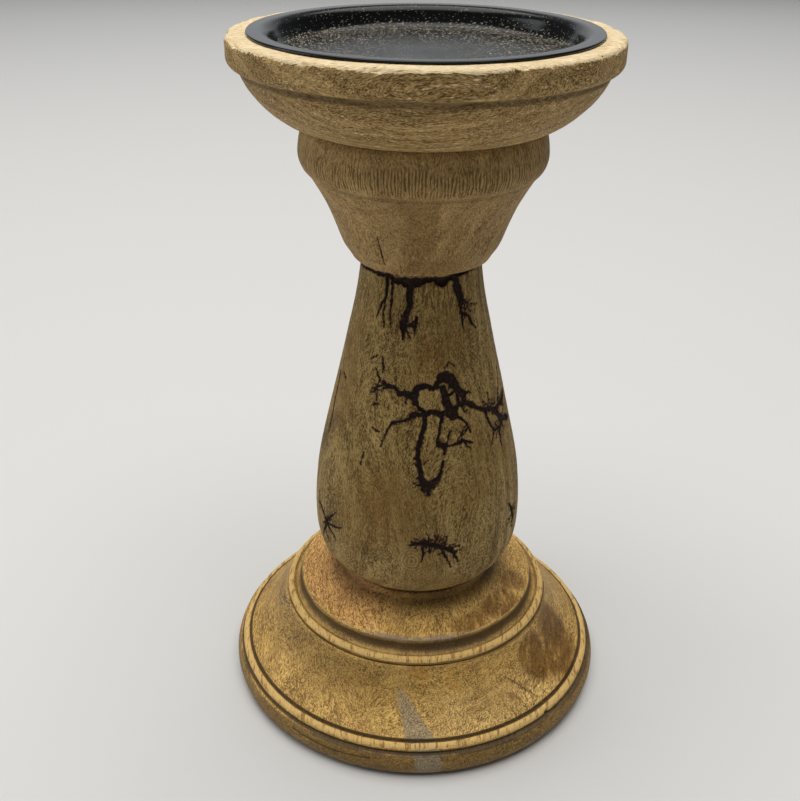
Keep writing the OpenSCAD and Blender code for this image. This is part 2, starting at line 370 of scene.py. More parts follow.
class Paint:
    """A material whose nodes are added one at a time."""

    def __init__(self, name, **constants):
        self.material = bpy.data.materials.new(name)
        self.material.use_nodes = True
        self.tree = self.material.node_tree
        self.shader = self.tree.nodes["Principled BSDF"]
        for socket, value in constants.items():
            self.shader.inputs[socket.replace("_", " ")].default_value = value

    def set(self, socket, value):
        if isinstance(value, Shade):
            self.tree.links.new(value.socket, socket)
        elif hasattr(socket.default_value, "__len__") and len(socket.default_value) == 4 and len(value) == 3:
            socket.default_value = (*value, 1)
        else:
            socket.default_value = value

    def node(self, kind, settings=None, inputs=(), output=0):
        """Adds a node: its settings first, then its inputs by name or by place, and gives its output."""
        node = self.tree.nodes.new(kind)
        for name, value in (settings or {}).items():
            if name == "stops":
                self.set_stops(node.color_ramp, value)
            else:
                setattr(node, name, value)
        named = inputs.items() if isinstance(inputs, dict) else enumerate(inputs)
        for name, value in named:
            self.set(node.inputs[name], value)
        return Shade(self, node.outputs[output])

    def set_stops(self, ramp, stops):
        while len(ramp.elements) < len(stops):
            ramp.elements.new(0.5)
        for element, (place, colour) in zip(ramp.elements, stops):
            element.position = place
            element.color = (*colour, 1) if hasattr(colour, "__len__") else (colour, colour, colour, 1)

    def where(self):
        return self.node("ShaderNodeTexCoord", output="Object")

    def mark(self, name):
        return self.node("ShaderNodeAttribute", {"attribute_name": name}, output="Fac")

    def mix(self, factor, a, b, blend="MIX"):
        settings = {"data_type": "RGBA", "blend_type": blend}
        return self.node("ShaderNodeMix", settings, {0: factor, 6: a, 7: b}, output=2)

    def tint(self, factor, colour, by):
        """The colour, multiplied by another colour as far as the factor says."""
        return self.mix(factor, colour, self.mix(1.0, colour, by, "MULTIPLY"))

    def math(self, operation, *values):
        return self.node("ShaderNodeMath", {"operation": operation}, values)

    def round_angle(self, place):
        """The angle round the upright axis, in radians."""
        x = self.node("ShaderNodeSeparateXYZ", inputs=(place,), output="X")
        y = self.node("ShaderNodeSeparateXYZ", inputs=(place,), output="Y")
        return self.math("ARCTAN2", y, x)

    def vector(self, operation, *values, output=0):
        return self.node("ShaderNodeVectorMath", {"operation": operation}, values, output)

    def stretch(self, place, size, turn=(0, 0, 0)):
        """The place turned and divided by size along X, Y and Z, in metres."""
        scale = tuple(1 / s for s in size)
        return self.node("ShaderNodeMapping", inputs={"Vector": place, "Rotation": turn, "Scale": scale})

    def cloud(self, place, detail, roughness):
        """Cloudy noise from about 0.2 to 0.8, one lump per unit of place."""
        inputs = {"Vector": place, "Scale": 1.0, "Detail": detail, "Roughness": roughness}
        return self.node("ShaderNodeTexNoise", inputs=inputs)

    def cells(self, place, output="Distance"):
        return self.node("ShaderNodeTexVoronoi", inputs={"Vector": place, "Scale": 1.0}, output=output)

    def specks(self, place, size, reach, rarity):
        """1 in round specks as wide as reach allows in cells of that size. A higher rarity gives fewer."""
        cell = self.stretch(place, (size,) * 3)
        chosen = self.step(self.cells(cell, "Color"), rarity, rarity + 0.06)
        return self.step(self.cells(cell), reach, reach / 2) * chosen

    def step(self, value, low, high):
        """0 at low and 1 at high, smooth between. low may be above high."""
        return self.node(
            "ShaderNodeMapRange",
            {"interpolation_type": "SMOOTHSTEP"},
            {"Value": value, "From Min": low, "From Max": high},
        )

    def finish(self, colour, roughness, height, relief):
        self.set(self.shader.inputs["Base Color"], colour)
        self.set(self.shader.inputs["Roughness"], roughness)
        bump = self.node("ShaderNodeBump", inputs={"Height": height, "Strength": 1.0, "Distance": relief})
        self.set(self.shader.inputs["Normal"], bump)
        return self.material


# ---- Wood ----

UPRIGHT = (0, 0, 0)
LEFT_TO_RIGHT = (0, math.radians(90), 0)
FRONT_TO_BACK = (math.radians(90), 0, 0)


def times(colour, by):
    """The colour made darker or lighter. by is a number, or one each for red, green and blue."""
    by = by if hasattr(by, "__len__") else (by, by, by)
    return tuple(c * b for c, b in zip(colour, by))


class Grain:
    """The pattern of one block of wood, whose fibres run along Z after a turn, as values around 0.5."""

    def __init__(self, paint, fibre_turn, pith, curl=0.7 * MM, fine=0.8, stretch=4.0):
        place = paint.where()
        lie = paint.stretch(place, (1, 1, 1), fibre_turn)
        broad = self.waver(paint, lie, (0.03, 0.03, 0.07), 0.011)
        curls = self.waver(paint, lie, (0.004, 0.004, 0.008), curl)
        swayed = paint.vector("ADD", paint.vector("ADD", lie, broad), curls)
        ring_place = paint.vector("ADD", lie, broad)
        from_pith = paint.vector("MULTIPLY", paint.vector("SUBTRACT", ring_place, (*pith, 0)), (1, 1, 0.04))
        distance = paint.vector("LENGTH", from_pith, output="Value")
        self.place = place
        self.bands = paint.node(
            "ShaderNodeTexNoise",
            {"noise_dimensions": "1D"},
            {"W": distance, "Scale": 260.0, "Detail": 3.0, "Roughness": 0.6},
        )
        width = fine * MM
        self.streaks = paint.cloud(paint.stretch(swayed, (2 * width, 2 * width, 22 * MM)), 3.0, 0.6)
        long = stretch * width
        self.fibres = paint.cloud(paint.stretch(swayed, (width, width, long)), 3.0, 0.62)
        self.hairs = paint.cloud(paint.stretch(swayed, (width / 2, width / 2, long / 2)), 2.0, 0.6)
        self.mottle = paint.cloud(paint.stretch(lie, (10 * MM, 10 * MM, 20 * MM)), 3.0, 0.55)
        self.blush = paint.cloud(paint.stretch(lie, (31 * MM, 31 * MM, 47 * MM)), 2.0, 0.5)
        dashes = paint.cells(paint.stretch(swayed, (0.95 * MM, 0.95 * MM, 4.6 * MM)))
        self.pores = paint.step(dashes, 0.27, 0.12)

    def waver(self, paint, lie, size, reach):
        """A push of up to about half of reach each way, which changes over the size."""
        noise = paint.node(
            "ShaderNodeTexNoise",
            inputs={"Vector": paint.stretch(lie, size), "Scale": 1.0, "Detail": 2.0},
            output="Color",
        )
        centred = paint.vector("SUBTRACT", noise, (0.5, 0.5, 0.5))
        return paint.vector("MULTIPLY", centred, (2 * reach, 2 * reach, 2 * reach))

    def tone(self, fibres=1.3, hairs=1.0, streaks=0.9, bands=0.5, mottle=0.5):
        """Light and dark of the wood around 0.5, each part weighted."""
        return (
            0.5
            + (self.fibres - 0.5) * fibres
            + (self.hairs - 0.5) * hairs
            + (self.streaks - 0.5) * streaks
            + (self.bands - 0.5) * bands
            + (self.mottle - 0.5) * mottle
        )


def wood_tint(paint, tone, bare):
    """Turns light and dark into the wood's colour, from brown pores to pale fibres."""
    return paint.node(
        "ShaderNodeValToRGB",
        {
            "stops": [
                (0.08, times(bare, (0.27, 0.23, 0.17))),
                (0.32, times(bare, (0.62, 0.57, 0.48))),
                (0.5, bare),
                (0.72, times(bare, (1.4, 1.42, 1.45))),
                (0.95, times(bare, (1.75, 1.85, 2.1))),
            ]
        },
        {"Fac": tone},
    )


def wood_height(grain):
    return grain.fibres * 0.8 + grain.streaks * 0.4 + grain.hairs * 0.3 - grain.pores * 0.6


def wood_settings():
    return bpy.context.scene.candle_woods


def cup_finish():
    woods = wood_settings()
    bare = tuple(woods.cup_tan)
    cream = tuple(woods.rim_cream)
    paint = Paint("cup_wood", Specular_IOR_Level=0.22)
    grain = Grain(paint, LEFT_TO_RIGHT, (0.02, 0.1), curl=0.5 * MM, fine=0.55, stretch=5.0)
    colour = wood_tint(paint, grain.tone(fibres=1.3, hairs=1.4, streaks=0.65, bands=0.6, mottle=0.4), bare)
    colour = paint.mix(grain.pores * 0.4, colour, times(bare, 0.35))
    worn = paint.mark("worn")
    hollow = paint.mark("hollow")
    frayed = (grain.fibres - 0.5) * 2.2 + (grain.streaks - 0.5) * 1.6
    # Pale top of the rim: partly real wear, partly painted light where the top faces up
    worn_lit_top = paint.step(worn + frayed, 0.36, 0.62)
    pale = paint.mix(paint.step(grain.fibres, 0.58, 0.42), cream, times(cream, (0.78, 0.7, 0.56)))
    pale = paint.mix(paint.step(grain.mottle, 0.55, 0.7) * 0.5, pale, times(cream, (0.8, 0.66, 0.45)))
    colour = paint.mix(worn_lit_top * 0.94, colour, pale)
    # Painted shade under the band's step, in the groove colour
    under_step_shade = paint.step(hollow + (grain.streaks - 0.5) * 1.6 + (grain.mottle - 0.5) * 1.2, 0.3, 1.0)
    colour = paint.mix(under_step_shade * 0.62, colour, tuple(woods.groove_stain_and_shade))
    rough = 0.6 + grain.hairs * 0.25
    return paint.finish(colour, rough, wood_height(grain), 0.3 * MM)


# Strokes round the collar's ring
RING_STROKES = 240


def collar_finish():
    woods = wood_settings()
    bare = tuple(woods.collar_tan)
    paint = Paint("collar_wood", Specular_IOR_Level=0.22)
    grain = Grain(paint, UPRIGHT, (0.05, 0.06), fine=0.6)
    colour = wood_tint(paint, grain.tone(fibres=1.0, hairs=0.9, streaks=0.4, bands=0.4, mottle=0.4), bare)
    colour = paint.mix(grain.pores * 0.3, colour, times(bare, 0.4))
    ring = paint.mark("ring")
    wander = paint.cloud(paint.stretch(grain.place, (2.5 * MM, 2.5 * MM, 14 * MM)), 2.0, 0.5)
    strokes = paint.math("SINE", paint.round_angle(grain.place) * RING_STROKES + wander * 14)
    depth = paint.cloud(paint.stretch(grain.place, (1.6 * MM, 1.6 * MM, 3 * MM)), 1.0, 0.5)
    dark_stroke = paint.step(strokes + (depth - 0.5) * 2.5, 0.1, 0.9)
    colour = paint.mix(ring * dark_stroke * 0.85, colour, times(bare, (0.36, 0.3, 0.21)))
    colour = paint.mix(ring * paint.step(strokes, -0.2, -0.9) * 0.35, colour, times(bare, 1.5))
    patch = paint.mark("patch")
    dark, light = times(bare, (0.42, 0.36, 0.28)), times(bare, (0.75, 0.66, 0.5))
    stained = paint.mix(paint.step(grain.fibres, 0.4, 0.6), dark, light)
    colour = paint.mix(patch * 0.66, colour, stained)
    # Darker along the thin line under the ring, in the groove colour
    hollow = paint.mark("hollow")
    colour = paint.mix(hollow * 0.5, colour, tuple(woods.groove_stain_and_shade))
    crack = paint.mark("crack")
    colour = paint.mix(paint.step(crack, 0.5, 0.9), colour, tuple(woods.char_brown))
    return paint.finish(colour, 0.62 + grain.hairs * 0.2, wood_height(grain), 0.28 * MM)


# Turns of the light and dark round a knot, in radians for each mm out from its middle
KNOT_RINGS = 5.2


def stem_finish():
    woods = wood_settings()
    bare = tuple(woods.stem_tan)
    black = tuple(woods.char_brown)
    paint = Paint("stem_wood", Specular_IOR_Level=0.2)
    grain = Grain(paint, UPRIGHT, (0.06, 0.03), curl=1.0 * MM, fine=0.62, stretch=3.2)
    colour = wood_tint(paint, grain.tone(fibres=1.6, hairs=1.5, streaks=0.9, bands=0.7, mottle=0.6), bare)
    colour = paint.mix(grain.pores * 0.3, colour, times(bare, (0.34, 0.3, 0.25)))
    colour = paint.mix(paint.step(grain.blush, 0.48, 0.66) * 0.4, colour, times(bare, (0.8, 0.66, 0.45)))
    colour = paint.tint(paint.mark("pale") * 0.9, colour, (1.14, 1.17, 1.32))
    knot = paint.mark("knot")
    loose = paint.cloud(paint.stretch(grain.place, (3 * MM,) * 3), 2.0, 0.5)
    rings = paint.math("SINE", paint.mark("from_knot") * KNOT_RINGS + loose * 9)
    colour = paint.mix(knot * paint.step(rings, 0.1, 0.9) * 0.8, colour, times(bare, (0.52, 0.48, 0.42)))
    colour = paint.mix(knot * paint.step(rings, -0.2, -0.9) * 0.55, colour, times(bare, (1.5, 1.5, 1.5)))
    lines = paint.cloud(paint.stretch(grain.place, (0.8 * MM, 0.8 * MM, 16 * MM)), 1.0, 0.5)
    brushed = paint.mark("brushed")
    colour = paint.mix(brushed * paint.step(lines, 0.5, 0.6) * 0.75, colour, times(bare, (0.4, 0.32, 0.22)))
    colour = paint.mix(brushed * paint.step(lines, 0.46, 0.34) * 0.4, colour, times(bare, (1.5, 1.5, 1.45)))
    blotch = paint.mark("blotch") * paint.step(grain.streaks, 0.36, 0.62)
    colour = paint.tint(blotch, colour, (0.74, 0.64, 0.5))
    burn = paint.mark("burn")
    nubs = paint.cloud(paint.stretch(grain.place, (1.1 * MM,) * 3), 3.0, 0.66)
    edge = burn + (nubs - 0.5) * 1.9
    soot = paint.step(edge, 0.5, 0.0)
    char = paint.step(edge, 0.06, -0.06)
    colour = paint.mix(soot * 0.65, colour, (0.08, 0.03, 0.012))
    ash = paint.cloud(paint.stretch(grain.place, (0.9 * MM,) * 3), 3.0, 0.7)
    burnt = paint.mix(paint.step(ash, 0.5, 0.66) * 0.8, black, (0.065, 0.024, 0.013))
    colour = paint.mix(char, colour, burnt)
    # Painted shade at the stem's foot, in the groove colour
    hollow = paint.mark("hollow")
    colour = paint.mix(hollow * 0.6, colour, tuple(woods.groove_stain_and_shade))
    rough = 0.64 + grain.hairs * 0.15 + char * 0.08
    height = wood_height(grain) * (1 - char) + (ash - 1) * char
    return paint.finish(colour, rough, height, 0.3 * MM)


def base_finish():
    woods = wood_settings()
    bare = tuple(woods.base_gold)
    groove = tuple(woods.groove_stain_and_shade)
    paint = Paint("base_wood", Specular_IOR_Level=0.35)
    grain = Grain(paint, FRONT_TO_BACK, (0.03, 0.12), curl=0.5 * MM, fine=0.7, stretch=3.5)
    colour = wood_tint(paint, grain.tone(fibres=1.3, hairs=1.5, streaks=0.7, bands=0.4, mottle=0.6), bare)
    colour = paint.mix(paint.step(grain.blush, 0.42, 0.62) * 0.2, colour, times(bare, (0.9, 0.8, 0.8)))
    colour = paint.mix(grain.pores * 0.45, colour, times(bare, (0.33, 0.26, 0.18)))
    colour = paint.tint(paint.mark("rosy") * 0.8, colour, (1.13, 0.98, 1.12))
    colour = paint.tint(paint.mark("pale") * 0.7, colour, (1.12, 1.2, 1.5))
    # Painted shade on the side wall, the flare under the inner bead, the back and round the stem's foot
    colour = paint.tint(paint.mark("shade") * (0.4 + grain.mottle * 1.1), colour, (0.28, 0.255, 0.17))
    stain = paint.mark("stain")
    slant = paint.stretch(grain.place, (2.2 * MM, 8 * MM, 8 * MM), (0, 0, math.radians(40)))
    blots = paint.cloud(slant, 3.0, 0.6)
    dark_streak = paint.step(blots + (grain.fibres - 0.5) * 0.9 + stain * 0.15, 0.42, 0.66)
    stain_area = paint.step(stain + (grain.mottle - 0.5) * 0.9, -0.1, 0.75) * paint.step(stain, 0.0, 0.4)
    colour = paint.tint((dark_streak * 0.7 + 0.26) * stain_area, colour, (0.33, 0.24, 0.09))
    stripe = paint.mark("stripe")
    grey = paint.mix(paint.step(grain.hairs, 0.38, 0.62), (0.16, 0.13, 0.085), (0.42, 0.36, 0.25))
    colour = paint.mix(paint.step(stripe + (grain.fibres - 0.5) * 1.2, 0.2, 0.9) * 0.66, colour, grey)
    amber = paint.mark("amber")
    amber_patch = paint.step(amber + (grain.mottle - 0.5) * 2.4 + (grain.streaks - 0.5) * 2.4, 0.35, 1.1)
    colour = paint.mix(amber_patch * amber * 0.8, colour, times(bare, (0.92, 0.66, 0.2)))
    # Painted highlight on the beads where they face the light
    crest = paint.mark("crest")
    hollow = paint.mark("hollow")
    ticks = paint.cloud(paint.stretch(grain.place, (0.9 * MM, 5 * MM, 5 * MM)), 3.0, 0.65)
    bright, dull = times(bare, (1.4, 1.52, 1.95)), times(bare, (0.62, 0.52, 0.42))
    crest_highlight_colour = paint.mix(paint.step(ticks, 0.5, 0.64), bright, dull)
    colour = paint.mix(paint.step(crest + (ticks - 0.5) * 0.5, 0.2, 0.7) * 0.88, colour, crest_highlight_colour)
    # Darker in grooves and hollows: painted shade there, partly with real stain
    sunk = paint.step(hollow + (grain.fibres - 0.5) * 1.0, 0.1, 0.8)
    colour = paint.mix(sunk * 0.88, colour, groove)
    # Painted sheen along the front of the plateau's rounded edge
    sheen = paint.step(paint.mark("sheen") + (ticks - 0.5) * 2.4 + (grain.mottle - 0.5), 0.35, 0.9)
    colour = paint.mix(sheen * 0.5, colour, (0.25, 0.215, 0.2))
    crack = paint.mark("crack")
    colour = paint.mix(paint.step(crack, 0.4, 0.9) * 0.85, colour, groove)
    rough = 0.44 + grain.hairs * 0.22
    return paint.finish(colour, rough, wood_height(grain), 0.22 * MM)


def enamel_finish():
    paint = Paint("pan_enamel", Specular_IOR_Level=0.27)
    place = paint.where()
    haze = paint.cloud(paint.stretch(place, (14 * MM,) * 3), 3.0, 0.6)
    settled = paint.mark("settled")
    big = paint.specks(place, 2.2 * MM, 0.16, 0.6)
    small = paint.specks(place, 1.1 * MM, 0.36, 0.5)
    dust = (big * 0.9 + small * 0.6) * paint.mark("dusty")
    film = paint.step(haze, 0.35, 0.7) * settled
    colour = paint.mix(film * 0.6, (0.003, 0.0032, 0.0034), (0.014, 0.016, 0.017))
    colour = paint.mix(dust * 0.8, colour, (0.3, 0.26, 0.19))
    grit = paint.step(paint.mark("grit"), 0.3, 0.55)
    colour = paint.mix(grit * 0.8, colour, (0.36, 0.31, 0.22))
    rough = 0.1 + haze * 0.1 + settled * 0.16 + dust * 0.3 + grit * 0.4
    orange_peel = paint.cloud(paint.stretch(place, (1.2 * MM,) * 3), 1.0, 0.5)
    return paint.finish(colour, rough, orange_peel * 0.12 + dust * 0.6, 0.1 * MM)


def steel_finish():
    paint = Paint("zinc_steel", Metallic=1.0)
    place = paint.where()
    bloom = paint.cloud(paint.stretch(place, (1.6 * MM,) * 3), 3.0, 0.6)
    colour = paint.mix(paint.step(bloom, 0.35, 0.7), (0.52, 0.52, 0.5), (0.68, 0.68, 0.64))
    return paint.finish(colour, 0.3 + bloom * 0.2, bloom, 0.03 * MM)


def rubber_finish():
    paint = Paint("pad_rubber")
    place = paint.where()
    grit = paint.cloud(paint.stretch(place, (0.5 * MM,) * 3), 3.0, 0.6)
    colour = paint.mix(paint.step(grit, 0.4, 0.7), (0.012, 0.012, 0.012), (0.03, 0.03, 0.03))
    return paint.finish(colour, 0.75 + grit * 0.15, grit, 0.08 * MM)


# ---- Burns ----

# Each burn is a line of (degrees round from the front, height in mm, half width in mm) places.
BURNS = [
    # Black line where the stem meets the collar, and what runs down from it
    [(-78, 177, 0.2), (-57, 178, 0.5), (-40, 178, 0.7), (-28, 178, 0.8), (-22, 177, 1.2)],
    [(-22, 177, 1.2), (-14, 177, 1.8), (-6, 177, 1.7), (4, 178, 0.9), (14, 178, 0.9)],
    [(14, 178, 0.9), (20, 177, 1.5), (25, 178, 0.7), (36, 179, 1.0), (58, 179, 0.5), (80, 178, 0.2)],
    [(-9, 176, 1.6), (-9, 170, 1.0), (-12, 165, 0.9), (-14, 163, 1.5), (-14, 157, 0.2)],
    [(-11, 162, 0.7), (-4, 162, 0.5), (-3, 165, 0.5)],
    [(-4, 162, 0.5), (-4, 159, 0.3)],
    [(-32, 177, 0.6), (-32, 171, 0.5), (-36, 168, 0.4), (-40, 163, 0.2)],
    [(-33, 170, 0.4), (-33, 164, 0.3), (-31, 160, 0.2)],
    [(-27, 177, 0.5), (-26, 171, 0.4), (-27, 166, 0.3), (-25, 161, 0.2)],
    [(32, 178, 1.2), (36, 172, 1.4), (38, 169, 1.0), (36, 168, 0.5), (38, 164, 0.5), (38, 158, 0.2)],
    [(38, 165, 0.5), (45, 163, 0.5), (48, 160, 0.4), (52, 158, 0.2)],
    [(38, 170, 0.4), (48, 167, 0.3), (58, 166, 0.2)],
    # Main figure, upper arms and the thick knot
    [(-26, 141, 0.8), (-22, 140, 0.8), (-18, 140, 0.8), (-14, 138, 1.0), (-8, 138, 1.2), (-3, 138, 1.5)],
    [(-3, 138, 1.4), (-2, 140, 1.2), (1, 141, 1.1), (6, 141, 0.8),
     (10, 140, 0.8), (13, 142, 1.0), (16, 143, 1.3)],
    [(15, 144, 1.3), (19, 144, 1.7), (23, 143, 1.8), (25, 141, 1.9), (31, 137, 1.2), (32, 134, 1.0)],
    [(17, 140, 1.2), (18, 137, 1.2), (20, 134, 1.4), (21, 131, 1.6), (23, 130, 1.6)],
    [(20, 137, 0.6), (24, 138, 0.5)],
    [(27, 137, 0.7), (28, 134, 0.5)],
    [(31, 136, 0.5), (36, 137, 0.4), (39, 136, 0.2)],
    # Right arm and its ring
    [(22, 132, 1.2), (28, 133, 0.9), (33, 133, 1.0), (40, 131, 0.9),
     (46, 129, 0.8), (49, 128, 0.8), (60, 126, 0.8)],
    [(56, 127, 0.9), (62, 124, 1.2), (66, 121, 1.2), (72, 119, 1.2), (80, 117, 1.1)],
    [(58, 126, 0.8), (66, 126, 0.9), (75, 126, 1.1), (80, 128, 0.9)],
    [(49, 128, 0.6), (51, 123, 0.5), (55, 119, 0.5), (62, 118, 0.5), (68, 119, 0.6)],
    [(66, 128, 0.5), (72, 133, 0.3), (76, 139, 0.2)],
    [(55, 129, 0.4), (54, 134, 0.2)],
    [(55, 119, 0.4), (51, 114, 0.2)],
    [(62, 118, 0.4), (61, 111, 0.2)],
    # Main figure, lower arms
    [(-5, 131, 0.7), (0, 131, 0.8), (4, 131, 0.9), (8, 132, 0.8), (14, 131, 0.9), (20, 131, 1.1)],
    [(-2, 131, 0.8), (-7, 129, 0.6), (-12, 128, 0.5), (-17, 127, 0.5),
     (-19, 125, 0.4), (-21, 122, 0.3), (-23, 118, 0.2)],
    [(-3, 137, 1.3), (-2, 135, 0.8), (1, 133, 0.7), (4, 132, 0.8)],
    [(4, 130, 0.9), (4, 127, 0.8), (2, 123, 0.8), (0, 119, 0.9),
     (0, 116, 0.8), (1, 112, 0.8), (2, 109, 0.9), (4, 106, 1.1)],
    [(3, 107, 1.3), (5, 105, 2.1), (8, 105, 1.7), (10, 107, 1.0)],
    [(4, 106, 0.8), (0, 108, 0.3)],
    [(6, 104, 0.9), (6, 101, 0.3)],
    [(17, 131, 0.7), (15, 130, 0.6), (14, 126, 0.5), (12, 122, 0.6),
     (13, 120, 1.0), (17, 119, 1.0), (16, 116, 0.4)],
    [(15, 114, 0.4), (14, 110, 0.6), (11, 107, 0.7), (8, 105, 1.0)],
    [(14, 120, 0.6), (22, 119, 0.4), (28, 120, 0.7), (32, 119, 0.4), (36, 118, 0.2)],
    [(28, 120, 0.5), (34, 116, 0.2)],
    [(28, 120, 0.4), (27, 124, 0.2)],
    [(18, 120, 0.4), (20, 124, 0.3), (22, 125, 0.2)],
    [(25, 130, 0.6), (32, 126, 0.4), (35, 122, 0.2)],
    # Stray marks to the left and above the main figure
    [(-34, 138, 0.3), (-27, 138, 0.3)],
    [(-30, 138, 0.2), (-30, 134, 0.3)],
    [(-32, 132, 0.3), (-28, 133, 0.3)],
    [(-29, 150, 0.3), (-27, 145, 0.4)],
    [(-39, 148, 0.2), (-33, 150, 0.2)],
    [(-33, 145, 0.3), (-29, 142, 0.3)],
    [(-30, 124, 0.3), (-25, 123, 0.3)],
    [(-34, 114, 0.2), (-35, 109, 0.2)],
    [(19, 147, 0.2), (22, 149, 0.3), (27, 147, 0.2)],
    [(-76, 136, 0.4), (-74, 124, 0.5), (-72, 112, 0.3)],
    [(-64, 136, 0.4), (-69, 137, 0.3)],
    # Figure low at the front
    [(-3, 81, 0.4), (0, 82, 0.6), (4, 82, 0.9), (8, 81, 1.1),
     (13, 80, 1.1), (18, 78, 0.9), (21, 76, 0.7), (23, 72, 0.3)],
    [(4, 81, 0.5), (4, 77, 0.4), (3, 74, 0.2)],
    [(14, 79, 0.5), (16, 75, 0.4), (19, 70, 0.2)],
    # Star low on the left
    [(-58, 77, 0.9), (-66, 81, 0.6), (-70, 82, 0.4), (-72, 86, 0.3)],
    [(-59, 77, 0.7), (-54, 82, 0.5), (-50, 85, 0.2)],
    [(-59, 77, 0.7), (-52, 78, 0.5), (-45, 80, 0.2)],
    [(-59, 77, 0.7), (-62, 73, 0.5), (-66, 68, 0.3)],
    [(-59, 77, 0.7), (-54, 75, 0.4), (-50, 73, 0.2)],
    [(-61, 73, 0.5), (-57, 69, 0.3)],
    # Small figure low on the right
    [(62, 86, 0.4), (66, 82, 0.9), (68, 78, 1.0), (67, 73, 0.4)],
    # Round the back
    [(128, 150, 0.5), (136, 146, 0.9), (141, 139, 1.2), (150, 134, 0.9), (158, 136, 0.5), (168, 131, 0.4)],
    [(141, 139, 0.9), (138, 130, 0.8), (142, 121, 0.7), (139, 112, 0.5), (143, 104, 0.3)],
    [(-150, 98, 0.5), (-142, 95, 0.9), (-133, 97, 0.8), (-126, 92, 0.5), (-118, 93, 0.3)],
    [(172, 176, 0.6), (176, 168, 0.8), (173, 160, 0.5), (178, 152, 0.3)],
    [(110, 78, 0.4), (117, 74, 0.7), (125, 75, 0.5)],
]
# Where fine twigs spread from: degrees, height, how many, how long in mm, half width in mm
TWIGS = [
    (6, 82, 5, 3.5, 0.35),
    (10, 81, 6, 4, 0.35),
    (15, 80, 5, 4, 0.35),
    (20, 77, 4, 4, 0.35),
    (1, 82, 5, 3, 0.3),
    (-60, 77, 5, 5, 0.35),
    (67, 80, 5, 5, 0.35),
    (68, 126, 6, 6, 0.35),
    (54, 128, 5, 5, 0.3),
    (60, 118, 5, 5, 0.3),
    (66, 120, 5, 5, 0.3),
    (24, 142, 3, 3, 0.35),
    (30, 133, 4, 4, 0.3),
    (6, 105, 5, 4, 0.4),
    (2, 113, 2, 3, 0.25),
    (-7, 138, 3, 3, 0.3),
    (-30, 139, 3, 3, 0.25),
    (28, 122, 3, 4, 0.25),
    (-13, 162, 4, 4, 0.3),
    (42, 166, 4, 5, 0.25),
    (-70, 81, 3, 4, 0.3),
    (141, 138, 7, 7, 0.4),
    (139, 114, 4, 6, 0.3),
    (-136, 96, 7, 8, 0.4),
    (175, 166, 4, 6, 0.3),
    (117, 75, 5, 6, 0.35),
]
# Knots in the stem: degrees, height and how far across in mm
KNOTS = [(-41, 70, 8), (-2, 74, 9), (38, 73, 8), (-17, 77, 5), (152, 118, 10), (-118, 84, 9), (100, 66, 8)]

# Brown blotches in the stem: degrees, height, width and tallness in mm
BLOTCHES = [
    (-33, 76, 18, 9),
    (-25, 57, 10, 7),
    (30, 54, 14, 6),
    (-18, 75, 4, 14),
    (-20, 100, 16, 40),
    (8, 150, 18, 22),
    (150, 90, 20, 26),
    (-120, 120, 18, 30),
]


def burn_lines(seed, outline):
    """Every burn as short straight bits, each from one (degrees, height, half width) place to another."""
    chance = random.Random(seed)
    bits = []

    def radius_at(height):
        return float(np.interp(height * MM, outline[:, 1], outline[:, 0])) / MM

    def run(path, wobble):
        """Adds a path, broken into uneven steps so that it wanders as a burn does."""
        for (a0, h0, w0), (a1, h1, w1) in zip(path, path[1:]):
            r = radius_at((h0 + h1) / 2)
            x0, x1 = math.radians(a0) * r, math.radians(a1) * r
            span = math.hypot(x1 - x0, h1 - h0)
            steps = max(1, round(span / 1.4))
            last = (a0, h0, w0)
            for k in range(1, steps + 1):
                t = k / steps
                loose = wobble if k < steps else 0
                x = x0 + (x1 - x0) * t + chance.uniform(-loose, loose)
                h = h0 + (h1 - h0) * t + chance.uniform(-loose, loose)
                w = (w0 + (w1 - w0) * t) * chance.uniform(0.75, 1.25)
                here = (math.degrees(x / r), h, w)
                bits.append((last, here))
                last = here

    def twig(angle, height, heading, length, width):
        """A fine branch that forks as it thins."""
        while length > 0 and width > 0.1:
            r = radius_at(height)
            stride = chance.uniform(0.6, 1.2)
            heading += chance.uniform(-0.7, 0.7)
            onward = (
                angle + math.degrees(stride * math.cos(heading) / r),
                height + stride * math.sin(heading),
                width * 0.86,
            )
            bits.append(((angle, height, width), onward))
            if chance.random() < 0.28:
                side = heading + chance.choice((-1, 1)) * chance.uniform(0.6, 1.2)
                twig(onward[0], onward[1], side, length * 0.5, width * 0.75)
            angle, height, width = onward
            length -= stride

    for path in BURNS:
        run(path, 0.3)
    for angle, height, count, length, width in TWIGS:
        for k in range(count):
            heading = 2 * math.pi * (k + chance.uniform(-0.3, 0.3)) / count
            twig(angle, height, heading, length * chance.uniform(0.6, 1.2), width)
    return bits


def beside(px, py, vx, vy):
    """How far along the line from 0 to (vx, vy) each point (px, py) lies, and how far from it."""
    t = np.clip((px * vx + py * vy) / np.maximum(vx * vx + vy * vy, 1e-9), 0, 1)
    return t, np.hypot(px - t * vx, py - t * vy)


# How far from a burn, in mm, its distance is still worked out
BURN_REACH = 4.0


